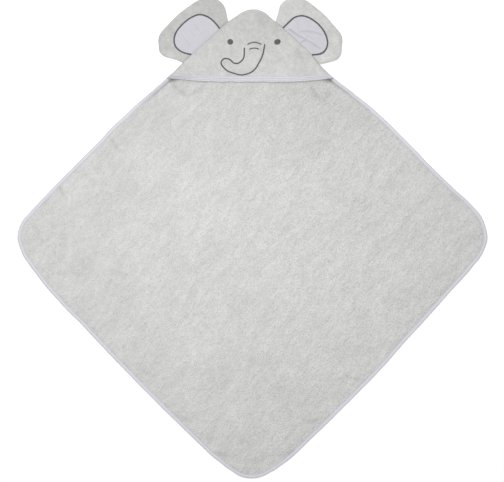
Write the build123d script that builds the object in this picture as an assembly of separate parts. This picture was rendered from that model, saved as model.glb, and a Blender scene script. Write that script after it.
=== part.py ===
from build123d import *
import math
import os

# A hooded baby towel lying flat, loop side up. Millimetres, +Z up from the floor,
# +Y towards the hood, +X to the right. The towel is a square laid corner-up, so its
# sharp corners are named foot, side (left and right) and apex.

# ---- towel outline ----
SIDE_REACH = 518.4
FOOT_REACH = 535.8
SIDE_CORNER_RADIUS = 73.0
FOOT_CORNER_RADIUS = 95.0
UPPER_EDGE_BOW = 7.0
LOWER_EDGE_BOW = 13.0
HOOD_CORNER_X = 168.0
HOOD_CORNER_Y = 345.0
APEX_REACH = 499.0
APEX_RADIUS = 47.0

# ---- cloth thicknesses and edge finish ----
TERRY = 3.0
BINDING_CLOTH = 0.6
BINDING_WIDTH = 8.4
BINDING_END_Y = 334.0
THREAD = 0.25
THREAD_WIDTH = 0.5
BINDING_STITCH_INSET = 7.0

# ---- hood ----
HOOD_CLOTH = 2.0
POCKET_HEIGHT = 6.0
SEAM_ALLOWANCE = 6.0
SLOPE_WIDTH = 18.0
LIP_MIDDLE_Y = 328.4
LIP_CORNER_Y = 335.0
LIP_BAND = 10.0
LIP_CLOTH = 0.6
LIP_STITCH_INSETS = (3.2, 6.8)
LIP_STITCH_END = 2.0
HOOD_SEAM_INSET = 4.0
HOOD_SEAM_START = 12.0
FOLD_Y = 300.0
FOLD_GAP = 0.3

# ---- ears: distances along the hood seam (s) and outward from it (t) ----
EAR_ROOT_X = 142.2
EAR_FLOOR_GAP = 0.2
EAR_PLY = 1.6
EAR_SEAM_GAP = 0.3
EAR_SEAM_INSET = 1.2
EAR_CORNERS = [(-2.5, 0), (-28, 41), (-0.5, 77), (60, 83), (115, 77.5), (150.5, 45), (128, 0)]
EAR_RADII = [23, 31, 164, 46, 31]
LEFT_LINING = [(105, -8), (98, 56), (65, 65.5), (23, 61), (0, 32.5), (32.5, -8)]
LEFT_LINING_RADII = [30, 20, 25, 15]
RIGHT_LINING = [(99.5, -8), (112.5, 22), (96.5, 52.5), (31, 55), (8, 26), (29, -8)]
RIGHT_LINING_RADII = [34, 29, 31, 10]
LINING_CLOTH = 0.5
SATIN_WIDTH = 3.5
SATIN_HEIGHT = 0.9

# ---- embroidery on the hood ----
EYE_X = 49.0
EYE_Y = 412.0
EYE_RADIUS = 6.0
EMBROIDERY = 0.6
TRUNK_WIDTH = 3.0
TRUNK_TURNS = [(23.5, 407.5), (19, 382), (0, 349), (-27, 341.5), (-57, 351), (-71, 368)]
TRUNK_TIP_TURNS = [(-62, 377.5), (-51, 376), (-37, 363), (-20, 376), (-19.3, 400.3)]
TRUNK_RADII = [60, 35, 30, 30, 8, 6, 10, 12, 18]
CREASE_WIDTH = 2.5
UPPER_CREASE = [(-13.2, 406.4), (1, 413), (16.8, 406.6)]
LOWER_CREASE = [(-9.5, 396.1), (0.8, 401.3), (11.6, 396.1)]
CREASE_RADII = [22]

HOOD_BASE = TERRY
HOOD_TOP = HOOD_BASE + POCKET_HEIGHT + HOOD_CLOTH
SEAM_ANGLE = math.atan2(APEX_REACH - HOOD_CORNER_Y, HOOD_CORNER_X)
BIG = 700.0


def rounded(face, corner, radius):
    """The flat face with the vertex nearest to corner rounded."""
    vertex = min(face.vertices(), key=lambda v: (v.center() - Vector(*corner)).length)
    return fillet(vertex, radius)


def towel_outline():
    """The whole towel, hood corner included, as one flat face."""
    left = (-SIDE_REACH, 0)
    right = (SIDE_REACH, 0)
    foot = (0, -FOOT_REACH)
    apex = (0, APEX_REACH)
    hood_left = (-HOOD_CORNER_X, HOOD_CORNER_Y)
    hood_right = (HOOD_CORNER_X, HOOD_CORNER_Y)
    edges = [
        SagittaArc(left, hood_left, UPPER_EDGE_BOW),
        Line(hood_left, apex),
        Line(apex, hood_right),
        SagittaArc(hood_right, right, UPPER_EDGE_BOW),
        SagittaArc(right, foot, LOWER_EDGE_BOW),
        SagittaArc(foot, left, LOWER_EDGE_BOW),
    ]
    face = make_face(Wire(edges))
    face = rounded(face, left, SIDE_CORNER_RADIUS)
    face = rounded(face, right, SIDE_CORNER_RADIUS)
    face = rounded(face, foot, FOOT_CORNER_RADIUS)
    return rounded(face, apex, APEX_RADIUS)


def prism(face, low, high):
    """A flat face on the floor plane made into a slab between two heights."""
    return extrude(Pos(0, 0, low) * face, high - low)


def inset(face, distance):
    """The flat face moved in by distance all round, its edges plain lines and arcs."""
    edges = []
    for edge in offset(face, -distance, kind=Kind.INTERSECTION).face().outer_wire().edges():
        if edge.geom_type == GeomType.LINE:
            edges.append(Line(edge @ 0, edge @ 1))
        else:
            edges.append(ThreePointArc(edge @ 0, edge @ 0.5, edge @ 1))
    return make_face(edges)


def below(y, margin=0.0):
    """A slab that holds everything on the foot side of the line at y."""
    return Pos(0, y - margin - BIG, 0) * Box(4 * BIG, 2 * BIG, BIG)


def above(y, margin=0.0):
    return Pos(0, y + margin + BIG, 0) * Box(4 * BIG, 2 * BIG, BIG)


def lip_zone(distance):
    """The area on the apex side of the hood's curved lip, moved in by distance."""
    left = (-HOOD_CORNER_X, LIP_CORNER_Y + distance)
    right = (HOOD_CORNER_X, LIP_CORNER_Y + distance)
    lip = ThreePointArc(left, (0, LIP_MIDDLE_Y + distance), right)
    far_left = (-BIG, LIP_CORNER_Y + distance)
    far_right = (BIG, LIP_CORNER_Y + distance)
    edges = [
        Line(far_left, left),
        lip,
        Line(right, far_right),
        Line(far_right, (BIG, BIG)),
        Line((BIG, BIG), (-BIG, BIG)),
        Line((-BIG, BIG), far_left),
    ]
    return make_face(Wire(edges))


def hood_triangle(distance):
    """The hood's triangle, its two seams moved in by distance, open past the lip."""
    reach = BIG
    drop = distance / math.cos(SEAM_ANGLE)
    apex = (0, APEX_REACH - drop)
    base_y = APEX_REACH - drop - reach * math.tan(SEAM_ANGLE)
    face = make_face(Polyline((-reach, base_y), apex, (reach, base_y), close=True))
    return rounded(face, apex, max(APEX_RADIUS - distance, 4.0))


def mound(base_inset, base_z, rise):
    """The space under a hood surface that climbs from the two seams and then lies flat."""
    foot_face = Pos(0, 0, base_z) * hood_triangle(base_inset)
    top_face = Pos(0, 0, base_z + rise) * hood_triangle(base_inset + SLOPE_WIDTH)
    return loft([foot_face.face(), top_face.face()], ruled=True)


def hood_space(lift):
    """Everything between the towel's face and the hood surface raised by lift."""
    if lift == 0:
        return mound(SEAM_ALLOWANCE, HOOD_BASE, POCKET_HEIGHT)
    slab = prism(hood_triangle(0), HOOD_BASE, HOOD_BASE + lift)
    return slab + mound(SEAM_ALLOWANCE, HOOD_BASE + lift, POCKET_HEIGHT)


def ear_frame(side):
    """Places a shape drawn along and out from the hood seam; side is -1 left, 1 right."""
    root_y = HOOD_CORNER_Y + (HOOD_CORNER_X - EAR_ROOT_X) * math.tan(SEAM_ANGLE)
    left = Pos(-EAR_ROOT_X, root_y, 0) * Rot(0, 0, math.degrees(SEAM_ANGLE))
    if side < 0:
        return lambda shape: left * shape
    return lambda shape: mirror(left * shape, about=Plane.YZ)


def rounded_face(corners, radii):
    """A flat face between a chain of rounded corners and the straight line that closes it."""
    chain = FilletPolyline(*corners, radius=radii)
    return make_face([*chain.edges(), Line(corners[-1], corners[0])])


def outside_seam(face):
    """The part of an ear's face that lies clear of the hood's edge."""
    return face - Pos(0, EAR_SEAM_GAP - BIG / 2) * Rectangle(2 * BIG, BIG)


def ear_pieces(side, name, corners, radii):
    """Two plies sewn right sides together and turned, with an appliqued inner ear."""
    place = ear_frame(side)
    middle = EAR_FLOOR_GAP + EAR_PLY
    top = middle + EAR_PLY
    whole = outside_seam(rounded_face(EAR_CORNERS, EAR_RADII))
    seam_ring = inset(whole, EAR_SEAM_INSET) - inset(whole, EAR_SEAM_INSET + THREAD_WIDTH)
    seam_thread = prism(seam_ring, middle, middle + THREAD)
    patch_face = rounded_face(corners, radii)
    satin_face = inset(patch_face, -SATIN_WIDTH / 2) - inset(patch_face, SATIN_WIDTH / 2)
    patch = prism(outside_seam(patch_face), top, top + LINING_CLOTH)
    satin = prism(outside_seam(satin_face), top, top + SATIN_HEIGHT) - patch
    front = prism(whole, middle, top) - seam_thread
    return {
        f"{name}_back": place(prism(whole, EAR_FLOOR_GAP, middle)),
        f"{name}_front": place(front),
        f"{name}_lining": place(patch),
        f"{name}_outline": place(satin),
        f"{name}_seam_stitching": place(seam_thread),
    }


def embroidered_line(points, radii, width):
    """A raised satin-stitched line on the hood's flat top."""
    path = FilletPolyline(*points, radius=radii)
    return prism(trace(path, width), HOOD_TOP, HOOD_TOP + EMBROIDERY)


# ---- towel and its bound edge ----
outline = towel_outline()
lining_edge = inset(outline, BINDING_WIDTH)
cloth_edge = inset(outline, BINDING_CLOTH)
tongue = prism(cloth_edge - lining_edge, BINDING_CLOTH, TERRY - BINDING_CLOTH)
binding = prism(outline - lining_edge, 0, TERRY) - tongue
binding = binding & below(BINDING_END_Y)
towel = prism(outline, 0, TERRY) - binding
stitch_face = inset(outline, BINDING_STITCH_INSET) - inset(outline, BINDING_STITCH_INSET + THREAD_WIDTH)
binding_stitches = prism(stitch_face, TERRY, TERRY + THREAD)

# ---- hood ----
hood_plan = prism(outline, HOOD_BASE, HOOD_TOP)
lip_plan = prism(lip_zone(0), HOOD_BASE, HOOD_TOP)
panel_plan = prism(lip_zone(LIP_CLOTH), HOOD_BASE, HOOD_TOP)
band_plan = prism(lip_zone(0) - lip_zone(LIP_BAND), HOOD_BASE, HOOD_TOP)
ceiling = hood_space(0)
hood_shell = (hood_space(HOOD_CLOTH) - ceiling) & hood_plan & lip_plan
core_shell = (hood_space(HOOD_CLOTH - LIP_CLOTH) - hood_space(LIP_CLOTH)) & panel_plan
lip_binding = (hood_shell & band_plan) - core_shell
hood_panel = hood_shell - lip_binding


def lip_stitch_row(distance):
    """One row of stitches that follows the lip over the hood's top surface."""
    strip = lip_zone(distance) - lip_zone(distance + THREAD_WIDTH)
    strip = strip & inset(outline, LIP_STITCH_END)
    skin = hood_space(HOOD_CLOTH + THREAD) - hood_space(HOOD_CLOTH)
    return skin & prism(strip, HOOD_BASE, HOOD_TOP + THREAD)


lip_stitches = Compound([s for d in LIP_STITCH_INSETS for s in lip_stitch_row(d).solids()])

# The seam that joins hood and towel runs a little inside the two slanted edges.
seam_line = inset(outline, HOOD_SEAM_INSET) - inset(outline, HOOD_SEAM_INSET + THREAD_WIDTH)
seam_line = seam_line & lip_zone(HOOD_SEAM_START)
hood_seam_stitches = prism(seam_line, TERRY - THREAD, TERRY)
towel = towel - hood_seam_stitches

# ---- embroidered face ----
eye = Cylinder(EYE_RADIUS, EMBROIDERY, align=(Align.CENTER, Align.CENTER, Align.MIN))
trunk = embroidered_line(TRUNK_TURNS + TRUNK_TIP_TURNS, TRUNK_RADII, TRUNK_WIDTH)
crease_upper = embroidered_line(UPPER_CREASE, CREASE_RADII, CREASE_WIDTH)
crease_lower = embroidered_line(LOWER_CREASE, CREASE_RADII, CREASE_WIDTH)

parts = {
    "towel_panel": towel & below(FOLD_Y, FOLD_GAP / 2),
    "towel_hood_corner": towel & above(FOLD_Y, FOLD_GAP / 2),
    "edge_binding": binding & below(FOLD_Y, FOLD_GAP / 2),
    "edge_binding_ends": binding & above(FOLD_Y, FOLD_GAP / 2),
    "edge_binding_stitching": binding_stitches & below(FOLD_Y, FOLD_GAP / 2),
    "hood_panel": hood_panel,
    "hood_edge_binding": lip_binding,
    "hood_edge_stitching": lip_stitches,
    "hood_seam_stitching": hood_seam_stitches,
    "eye_left": Pos(-EYE_X, EYE_Y, HOOD_TOP) * eye,
    "eye_right": Pos(EYE_X, EYE_Y, HOOD_TOP) * eye,
    "trunk_outline": trunk,
    "trunk_crease_upper": crease_upper,
    "trunk_crease_lower": crease_lower,
}
parts.update(ear_pieces(-1, "ear_left", LEFT_LINING, LEFT_LINING_RADII))
parts.update(ear_pieces(1, "ear_right", RIGHT_LINING, RIGHT_LINING_RADII))

os.makedirs("parts", exist_ok=True)
for name, shape in parts.items():
    solids = shape.solids()
    whole = solids[0] if len(solids) == 1 else Compound(list(solids))
    export_step(whole, f"parts/{name}.step")
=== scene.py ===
import math

import bpy
import numpy as np
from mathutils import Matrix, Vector, bvhtree, kdtree, noise
from mathutils.geometry import delaunay_2d_cdt


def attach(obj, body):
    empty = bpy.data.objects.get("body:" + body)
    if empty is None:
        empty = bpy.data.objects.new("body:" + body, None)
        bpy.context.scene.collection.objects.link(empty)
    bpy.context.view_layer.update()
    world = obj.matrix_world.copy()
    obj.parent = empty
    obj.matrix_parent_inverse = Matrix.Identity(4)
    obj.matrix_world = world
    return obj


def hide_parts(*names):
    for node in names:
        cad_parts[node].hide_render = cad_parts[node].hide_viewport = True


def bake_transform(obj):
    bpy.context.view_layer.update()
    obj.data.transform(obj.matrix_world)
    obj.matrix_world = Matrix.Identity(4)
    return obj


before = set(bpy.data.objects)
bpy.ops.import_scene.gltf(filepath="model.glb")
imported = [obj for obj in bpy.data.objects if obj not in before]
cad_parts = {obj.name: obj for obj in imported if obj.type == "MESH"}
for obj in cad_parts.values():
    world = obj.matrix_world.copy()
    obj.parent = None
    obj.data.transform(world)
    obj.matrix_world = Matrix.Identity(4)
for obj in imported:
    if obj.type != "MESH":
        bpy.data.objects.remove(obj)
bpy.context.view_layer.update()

# Shapes are worked out in millimetres in the frame's axes and turned to metres when a mesh is made.
MM = 0.001
UP = np.array([0.0, 0.0, 1.0])

# ---- towel outline, the same driving sizes as the CAD model ----
SIDE_REACH = 518.4
FOOT_REACH = 535.8
SIDE_CORNER_RADIUS = 73.0
FOOT_CORNER_RADIUS = 95.0
UPPER_EDGE_BOW = 7.0
LOWER_EDGE_BOW = 13.0
HOOD_CORNER = np.array([168.0, 345.0])
APEX_REACH = 499.0
APEX_RADIUS = 47.0
SEAM_ANGLE = math.atan2(APEX_REACH - HOOD_CORNER[1], HOOD_CORNER[0])
ALONG = np.array([math.cos(SEAM_ANGLE), math.sin(SEAM_ANGLE)])
OUTWARD = np.array([-math.sin(SEAM_ANGLE), math.cos(SEAM_ANGLE)])

LIP_MIDDLE_Y = 328.4
LIP_CORNER_Y = 335.0
TERRY = 3.0
HOOD_CLOTH = 2.0


# ---------------------------------------------------------------- small geometry helpers

def smooth(t):
    """0 to 1 with an easy start and end."""
    t = np.clip(t, 0.0, 1.0)
    return t * t * (3 - 2 * t)


def resample(line, step=None, count=None):
    """The polyline with points evenly spaced along it."""
    line = np.asarray(line, float)
    length = np.concatenate([[0], np.cumsum(np.linalg.norm(np.diff(line, axis=0), axis=1))])
    if count is None:
        count = max(2, int(round(length[-1] / step)) + 1)
    at = np.linspace(0, length[-1], count)
    return np.stack([np.interp(at, length, line[:, k]) for k in range(line.shape[1])], axis=1)


def arc(centre, start, end, step=1.0):
    """Points on the shorter arc about centre from start to end."""
    a, b = start - centre, end - centre
    radius = np.linalg.norm(a)
    first = math.atan2(a[1], a[0])
    turn = (math.atan2(b[1], b[0]) - first + math.pi) % (2 * math.pi) - math.pi
    angles = first + turn * np.linspace(0, 1, max(3, int(abs(turn) * radius / step)))
    return centre + radius * np.stack([np.cos(angles), np.sin(angles)], axis=1)


def bow_circle(a, b, bow):
    """Centre and radius of the arc from a to b that bows away from the origin."""
    half = np.linalg.norm(b - a) / 2
    radius = (half * half + bow * bow) / (2 * bow)
    middle = (a + b) / 2
    across = np.array([-(b - a)[1], (b - a)[0]]) / (2 * half)
    if across @ middle < 0:
        across = -across
    return middle + across * (bow - radius), radius


def circles_meet(c1, r1, c2, r2, near):
    """The crossing of two circles that is nearer to the point near."""
    gap = np.linalg.norm(c2 - c1)
    along = (c2 - c1) / gap
    a = (r1 * r1 - r2 * r2 + gap * gap) / (2 * gap)
    h = math.sqrt(r1 * r1 - a * a)
    side = np.array([-along[1], along[0]])
    both = [c1 + along * a + side * h, c1 + along * a - side * h]
    return min(both, key=lambda p: np.linalg.norm(p - near))


def rounded_between(c1, r1, c2, r2, corner, radius):
    """The fillet arc between two bowed sides that meet at corner."""
    centre = circles_meet(c1, r1 - radius, c2, r2 - radius, corner)
    start = c1 + (centre - c1) / np.linalg.norm(centre - c1) * r1
    end = c2 + (centre - c2) / np.linalg.norm(centre - c2) * r2
    return start, end, centre


def right_half_outline():
    """The outline's right half, from the middle of the apex round to the foot."""
    side = np.array([SIDE_REACH, 0.0])
    foot = np.array([0.0, -FOOT_REACH])
    upper_c, upper_r = bow_circle(HOOD_CORNER, side, UPPER_EDGE_BOW)
    lower_c, lower_r = bow_circle(side, foot, LOWER_EDGE_BOW)
    apex_c = np.array([0.0, APEX_REACH - APEX_RADIUS / math.cos(SEAM_ANGLE)])
    apex_top = apex_c + [0, APEX_RADIUS]
    apex_end = apex_c + APEX_RADIUS * np.array([math.sin(SEAM_ANGLE), math.cos(SEAM_ANGLE)])
    side_start, side_end, side_c = rounded_between(upper_c, upper_r, lower_c, lower_r, side, SIDE_CORNER_RADIUS)
    mirror_c = lower_c * [-1, 1]
    foot_start, _, foot_c = rounded_between(lower_c, lower_r, mirror_c, lower_r, foot, FOOT_CORNER_RADIUS)
    foot_low = foot_c + [0, -FOOT_CORNER_RADIUS]
    pieces = [
        arc(apex_c, apex_top, apex_end),
        np.array([apex_end, HOOD_CORNER]),
        arc(upper_c, HOOD_CORNER, side_start),
        arc(side_c, side_start, side_end),
        arc(lower_c, side_end, foot_start),
        arc(foot_c, foot_start, foot_low),
    ]
    return resample(np.concatenate(pieces), step=0.5)


def rounded_chain(corners, radii, step=0.5):
    """A chain of straight runs with rounded corners, as evenly spaced points."""
    corners = [np.array(c, float) for c in corners]
    points = [corners[0][None]]
    for before, corner, after, radius in zip(corners, corners[1:], corners[2:], radii):
        a = (before - corner) / np.linalg.norm(before - corner)
        b = (after - corner) / np.linalg.norm(after - corner)
        half = math.acos(np.clip(a @ b, -1, 1)) / 2
        reach = radius / math.tan(half)
        middle = (a + b) / np.linalg.norm(a + b)
        points.append(arc(corner + middle * radius / math.sin(half), corner + a * reach, corner + b * reach, step))
    points.append(corners[-1][None])
    return resample(np.concatenate(points), step=step)


def pairs(x, y):
    """Places given as x and y arrays, as rows of two."""
    return np.stack([np.broadcast_to(x, np.shape(y)), y], axis=-1).reshape(-1, 2)


def flat_tree(points):
    """A search tree over the points' places in x and y."""
    tree = kdtree.KDTree(len(points))
    for i, p in enumerate(points):
        tree.insert((p[0], p[1], 0), i)
    tree.balance()
    return tree


def nearest(line):
    """A lookup that gives, for each point, the nearest point of a line and the distance to it."""
    tree = flat_tree(line)

    def look(points):
        found = [tree.find((p[0], p[1], 0)) for p in points]
        return np.array([f[1] for f in found]), np.array([f[2] for f in found])

    return look


def waves(seed, count, shortest, longest):
    """A smooth random height field in x and y, about -1 to 1, made of plain waves."""
    rng = np.random.default_rng(seed)
    length = rng.uniform(shortest, longest, count)
    angle = rng.uniform(0, 2 * math.pi, count)
    phase = rng.uniform(0, 2 * math.pi, count)

    def field(x, y):
        total = 0
        for w, a, p in zip(length, angle, phase):
            total = total + np.sin((x * math.cos(a) + y * math.sin(a)) * 2 * math.pi / w + p)
        return total / math.sqrt(count) / 1.4

    return field


def lumps(x, y, size, seed):
    """Cloudy noise at that size in millimetres, about -1 to 1, one value a point."""
    offset = Vector((seed * 17.3, seed * 5.1, seed * 9.7))
    return np.array([noise.fractal(Vector((*p, 0)) / size + offset, 1.0, 2.0, 2) for p in zip(x, y)])


def left_normals(line):
    """Unit vectors to the left of the way the line runs."""
    along = np.gradient(line, axis=0)
    along /= np.linalg.norm(along, axis=1)[:, None]
    return np.stack([-along[:, 1], along[:, 0]], axis=1)


def bell(t):
    """1 at nothing, fading out past 1 either way."""
    return np.exp(-t ** 2)


def patch(x, y, middle, reach):
    """1 at the middle of a soft patch, fading out past its reach in x and y."""
    return np.exp(-((x - middle[0]) / reach[0]) ** 2 - ((y - middle[1]) / reach[1]) ** 2)


def uneven_run(rng, run, size, shortest, longest):
    """Small sideways wandering along a seam, made of five waves."""
    return sum(size * np.sin(run * 2 * math.pi / w + p)
               for w, p in zip(rng.uniform(shortest, longest, 5), rng.uniform(0, 6.28, 5)))


# Nobody lays a towel down quite square: where it is drawn aside, how far round, and by how much.
DRAWN = [
    ((0, 400), (330, 95), (-5.2, 0)),
    ((0, 480), (55, 38), (5.0, -2.2)),
    ((-262, 262), (80, 60), (-3.5, 0)),
    ((275, 252), (80, 45), (4.6, 0)),
    ((380, -140), (190, 125), (-5.4, 0)),
    ((480, -36), (60, 26), (-2.6, 0)),
    ((455, 66), (70, 26), (3.6, 0)),
    ((455, 80), (90, 50), (3.2, 0)),
    ((340, 195), (60, 26), (2.0, 0)),
    ((-420, -126), (90, 48), (-3.6, 0)),
    ((-470, -33), (70, 26), (3.4, 0)),
    ((-250, 250), (120, 75), (-1.2, 0)),
    ((-5, -500), (24, 40), (0, -2.4)),
    ((-58, -482), (22, 40), (1.5, 2.0)),
    ((50, -482), (22, 40), (-1.5, 2.2)),
    ((172, 335), (40, 26), (-3.3, 0)),
    ((-158, 360), (24, 18), (2.8, 0)),
    ((-178, 372), (36, 20), (0, 3.8)),
    ((172, 377), (36, 20), (0.5, -3.6)),
]
SEAM_BULGE = 7.8
BULGE_MIDDLE = 70.0
BULGE_REACH = 62.0


def drawn(xy):
    """The places in x and y after the towel is laid down slightly askew, its hood fuller on the right."""
    xy = np.array(xy, float)
    x, y = xy[..., 0].copy(), xy[..., 1].copy()
    for (cx, cy), (rx, ry), amount in DRAWN:
        weight = np.exp(-(((x - cx) / rx) ** 2 + ((y - cy) / ry) ** 2) ** 2)
        xy += weight[..., None] * np.array(amount)
    along, into = seam_place(x, y)
    fuller = np.exp(-((along - BULGE_MIDDLE) / BULGE_REACH) ** 4 - ((into + 6) / 25) ** 4)
    xy[..., 0] += SEAM_BULGE * fuller * (x > 0)
    return xy


# ---------------------------------------------------------------- meshes

def add_object(name, data):
    thing = bpy.data.objects.new(name, data)
    bpy.context.scene.collection.objects.link(thing)
    return thing


def new_piece(name, points, faces, cloth, tone=1.0):
    """A mesh object from millimetre points, of a cloth given as its material and slot; the slot is not used.

    It keeps its resting place for the cloth's texture and a tone that dims its colour, mostly painted shade and light.
    """
    material, slot = cloth
    points = np.array(points, float)
    points[:, :2] = drawn(points[:, :2])
    mesh = bpy.data.meshes.new(name)
    mesh.from_pydata((points * MM).tolist(), [], faces)
    mesh.validate()
    mesh.polygons.foreach_set("use_smooth", [True] * len(mesh.polygons))
    rest = np.zeros(len(mesh.vertices) * 3, np.float32)
    mesh.vertices.foreach_get("co", rest)
    mesh.attributes.new("rest", "FLOAT_VECTOR", "POINT").data.foreach_set("vector", rest)
    tones = np.array(np.broadcast_to(tone, len(points)), np.float32)
    mesh.attributes.new("tone", "FLOAT", "POINT").data.foreach_set("value", tones)
    mesh.materials.append(material)
    mesh.update()
    piece = add_object(name, mesh)
    return piece


def grid_faces(rows, columns, first=0, close=False, flip=False):
    """Quads over a grid of points stored row by row; close joins the last column to the first."""
    faces = []
    for r in range(rows - 1):
        for c in range(columns if close else columns - 1):
            a, d = first + r * columns, (c + 1) % columns
            b = a + columns
            quad = (a + c, a + d, b + d, b + c)
            faces.append(quad[::-1] if flip else quad)
    return faces


def tube_faces(rows, around, first=0):
    """The sides and both ends of a tube stored ring by ring."""
    last = first + (rows - 1) * around
    ends = [tuple(range(first, first + around))[::-1], tuple(range(last, last + around))]
    return grid_faces(rows, around, first, close=True) + ends


def sweep(name, rings, cloth, tone=1.0):
    """A closed tube through rings of points, one ring at each step of a path."""
    count, around = rings.shape[:2]
    tone = np.broadcast_to(tone, (count, around)).ravel()
    return new_piece(name, rings.reshape(-1, 3), tube_faces(count, around), cloth, tone)


def coons(north, south, west, east):
    """A patch of points between four edges: north and south run one way, west and east the other."""
    rows, columns = len(west), len(north)
    u = np.linspace(0, 1, columns)[None, :, None]
    v = np.linspace(0, 1, rows)[:, None, None]
    ruled = (1 - v) * north[None] + v * south[None] + (1 - u) * west[:, None] + u * east[:, None]
    corners = (1 - v) * ((1 - u) * north[0] + u * north[-1]) + v * ((1 - u) * south[0] + u * south[-1])
    return ruled - corners


def border(rows, columns):
    """The indices round the edge of a grid, in order."""
    top = list(range(columns))
    right = [r * columns + columns - 1 for r in range(1, rows)]
    bottom = [(rows - 1) * columns + c for c in range(columns - 2, -1, -1)]
    left = [r * columns for r in range(rows - 2, 0, -1)]
    return top + right + bottom + left


def stitch_row(name, line, stitch, thread, sink=0.3):
    """A row of separate stitches laid along a line; a stitch is its pitch, length, radius and flatness."""
    pitch, length, radius, flatten = stitch
    steps, around, sections = 4, 6, 5
    points = resample(line, step=pitch / steps)
    verts, faces = [], []
    half = length / 2
    for i in range(2, len(points) - 2, steps):
        along = points[i + 1] - points[i - 1]
        along = along / np.linalg.norm(along)
        side = np.cross(UP, along)
        faces += tube_faces(sections, around, len(verts))
        for t in np.linspace(-1, 1, sections):
            thick = radius * math.sqrt(max(0.12, 1 - t * t * 0.9))
            centre = points[i] + along * half * t + UP * (radius * flatten * (1 - sink) - abs(t) ** 3 * radius * 0.8)
            for a in 2 * math.pi * np.arange(around) / around:
                verts.append(centre + side * thick * math.cos(a) + UP * thick * flatten * math.sin(a))
    return new_piece(name, verts, faces, thread)


def satin_line(name, line, surface, width, height):
    """A raised band of satin stitches that follows a line over a surface."""
    rib, steps, around = 0.9, 4, 10
    path = resample(line, step=rib / steps)
    count = len(path)
    side = left_normals(path)
    along = np.stack([side[:, 1], -side[:, 0]], axis=1)
    step = np.arange(count)
    ends = np.sqrt(np.clip(np.minimum(step, count - 1 - step) / (width / 2 / (rib / steps)), 0.02, 1))
    ribs = 0.5 + 0.5 * np.cos(2 * math.pi * step / steps + 0.7 * np.sin(step * 0.37))
    wobble = 1 + 0.035 * np.sin(step * 1.7) * np.cos(step * 0.61)
    rings = np.zeros((count, around, 3))
    for k in range(around):
        a = 2 * math.pi * k / around
        reach = math.cos(a) * width / 2 * ends * wobble * (0.965 + 0.035 * ribs)
        spot = path + side * reach[:, None] + along * (0.35 * rib * math.cos(a))
        rise = max(math.sin(a), -0.5) * height * (0.86 + 0.14 * ribs) * ends
        rings[:, k, :2] = spot
        rings[:, k, 2] = surface(spot[:, 0], spot[:, 1]) + rise
    return sweep(name, rings[:, ::-1], EMBROIDERY)


# ---------------------------------------------------------------- materials

class Shading:
    """A material in the making. Each method adds a node or two and gives the output."""

    def __init__(self, name):
        self.material = bpy.data.materials.new(name)
        self.material.use_nodes = True
        self.tree = self.material.node_tree
        self.shader = next(n for n in self.tree.nodes if n.type == "BSDF_PRINCIPLED")

    def fill(self, node, values):
        """Link the inputs that are given another node's output, and set the others."""
        for socket, value in values.items():
            if isinstance(value, bpy.types.NodeSocket):
                self.tree.links.new(value, node.inputs[socket])
            else:
                node.inputs[socket].default_value = value

    def node(self, kind, output, values, **settings):
        node = self.tree.nodes.new("ShaderNode" + kind)
        for setting, value in settings.items():
            setattr(node, setting, value)
        self.fill(node, values)
        return node.outputs[output]

    def attribute(self, name, output):
        """One of the values that every mesh carries."""
        return self.node("Attribute", output, {}, attribute_name=name)

    def vector(self, operation, a, b):
        return self.node("VectorMath", "Vector", {0: a, 1: b}, operation=operation)

    def place(self, stretch=1.0, turn=0.0, wander=0.0):
        """The cloth's own resting coordinates in metres, drawn out along a grain that may wander."""
        rest = self.attribute("rest", "Vector")
        if wander:
            about = self.vector("SUBTRACT", self.noise(rest, 4, 1, output="Color"), (0.5, 0.5, 0.5))
            rest = self.vector("ADD", rest, self.vector("MULTIPLY", about, (wander, wander, wander)))
        return self.node("Mapping", "Vector", {"Vector": rest, "Scale": (stretch, 1, 1), "Rotation": (0, 0, turn)},
                         vector_type="TEXTURE")

    def noise(self, place, scale, detail, roughness=0.5, distortion=0.0, output="Fac"):
        return self.node("TexNoise", output, {"Vector": place, "Scale": scale, "Detail": detail,
                                              "Roughness": roughness, "Distortion": distortion})

    def shades(self, value, low, high, dark, light):
        """A number field turned to a colour between two shades."""
        ramp = self.tree.nodes.new("ShaderNodeValToRGB")
        for element, position, colour in zip(ramp.color_ramp.elements, (low, high), (dark, light)):
            element.position = position
            element.color = (*colour, 1)
        self.fill(ramp, {"Fac": value})
        return ramp.outputs["Color"]

    def multiply(self, colour, *layers, amount=1.0):
        """The colour darkened by each layer in turn."""
        for layer in layers:
            colour = self.node("Mix", "Result", {"Factor": amount, "A": colour, "B": layer},
                               data_type="RGBA", blend_type="MULTIPLY")
        return colour

    def toned(self, colour):
        """The colour dimmed by the mesh's tone, mostly painted shade and light."""
        return self.multiply(colour, self.attribute("tone", "Color"))

    def relief(self, *bumps):
        """Bumps laid one on another, each a height field with its distance in metres and its strength."""
        normal = {}
        for height, distance, strength in bumps:
            values = {"Height": height, "Distance": distance, "Strength": strength}
            normal = {"Normal": self.node("Bump", "Normal", values | normal)}
        return normal["Normal"]

    def finish(self, colour, relief, roughness, specular, sheen=0.0, sheen_roughness=0.5):
        self.fill(self.shader, {"Base Color": colour, "Normal": relief, "Roughness": roughness,
                                "Specular IOR Level": specular, "Sheen Weight": sheen,
                                "Sheen Roughness": sheen_roughness})
        return self.material


def grey(value, tint=(1, 1, 1)):
    return tuple(value * t for t in tint)


def linear(r, g, b):
    """A colour given in ordinary 0 to 255 steps as the shader's linear values."""
    return tuple(((c / 255 + 0.055) / 1.055) ** 2.4 for c in (r, g, b))


GRAIN = 0.87
WANDER = 0.05
TERRY_DARK, TERRY_LIGHT = 0.787, 0.895
WARM = (1, 1.0, 0.985)


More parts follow.
